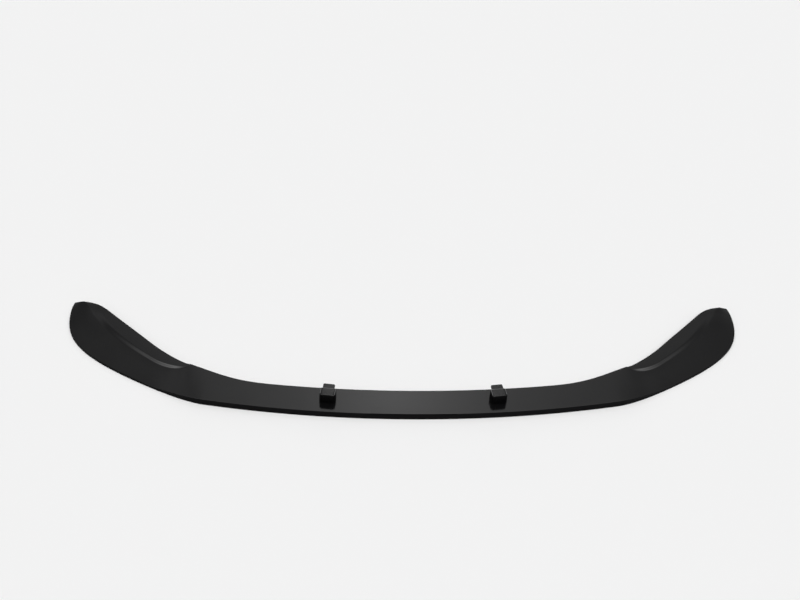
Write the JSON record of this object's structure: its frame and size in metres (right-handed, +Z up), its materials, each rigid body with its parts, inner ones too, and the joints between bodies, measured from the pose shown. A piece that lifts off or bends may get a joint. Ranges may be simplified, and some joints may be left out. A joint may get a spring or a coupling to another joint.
{
  "type": "front splitter lip",
  "caption": "Long curved black car front lip with a turned-down front edge, a widening lobe with a raised pod at each end, and two upright locating hooks on its blade.",
  "frame": {"origin": "middle of the footprint, on the surface that the lower rim rests on", "axes": "+X across the car, the front edge faces -Y, +Y towards the rear of the car, +Z up"},
  "size_m": [1.61, 0.375, 0.037],
  "materials": {
    "gloss_black": "smooth glossy black moulded plastic"
  },
  "bodies": {
    "root": {"lip": "gloss_black"}
  },
  "joints": []
}
